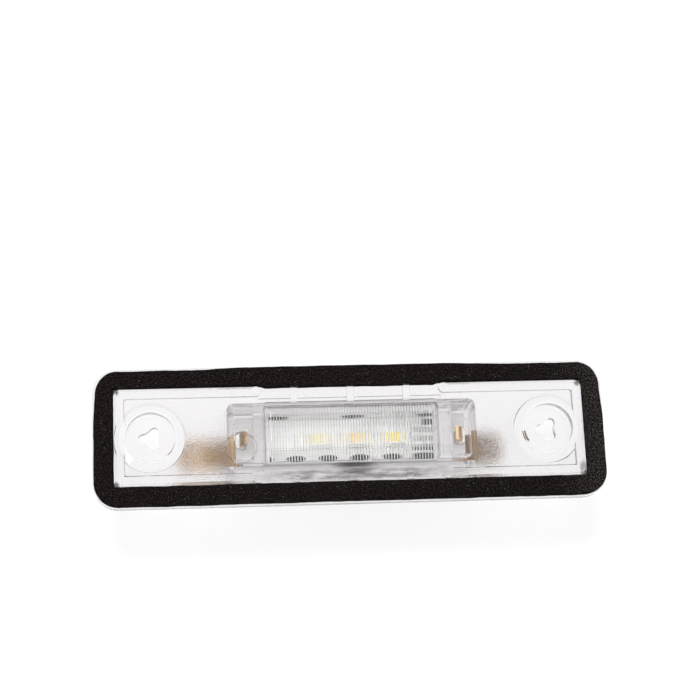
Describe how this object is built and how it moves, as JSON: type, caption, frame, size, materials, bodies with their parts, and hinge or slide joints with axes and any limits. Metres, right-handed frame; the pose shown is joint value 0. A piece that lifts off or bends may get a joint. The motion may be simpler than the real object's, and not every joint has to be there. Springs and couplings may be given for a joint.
{
  "type": "number plate lamp",
  "caption": "Long flat number plate lamp: clear moulded plate with a fluted window, screw cups, a foam gasket and brass blade terminals on its rear box.",
  "frame": {"origin": "centre of the rear cover's bottom plane, under the middle of the flange", "axes": "+X along the flange towards the end with the shorter blade, +Z out of the lit side through the gasket's face, +Y across the flange towards the long ribs"},
  "size_m": [0.1056, 0.0288, 0.02],
  "materials": {
    "clear_plastic": "clear polycarbonate, polished in front and finely grained behind",
    "lens_plastic": "clear polycarbonate, polished",
    "foam": "fine closed cell foam, matte",
    "cover_plastic": "milky polycarbonate, satin",
    "board": "white solder mask",
    "led_body": "white moulded package",
    "phosphor": "yellow phosphor in silicone",
    "black_epoxy": "black moulded epoxy",
    "chip_resistor": "black glaze with tinned ends",
    "chip_capacitor": "tan ceramic with tinned ends",
    "terminal_brass": "stamped brass strip, slightly tarnished",
    "solder": "bright solder"
  },
  "bodies": {
    "root": {"carrier": "clear_plastic", "lens": "lens_plastic", "gasket": "foam", "rear_cover": "cover_plastic", "circuit_board": "board", "led_left": "led_body", "led_middle": "led_body", "led_right": "led_body", "phosphor_left": "phosphor", "phosphor_middle": "phosphor", "phosphor_right": "phosphor", "rectifier": "black_epoxy", "series_resistor": "chip_resistor", "load_resistor_left": "chip_resistor", "load_resistor_right": "chip_resistor", "capacitor": "chip_capacitor", "blade_left": "terminal_brass", "blade_right": "terminal_brass", "solder_left": "solder", "solder_right": "solder"}
  },
  "joints": []
}
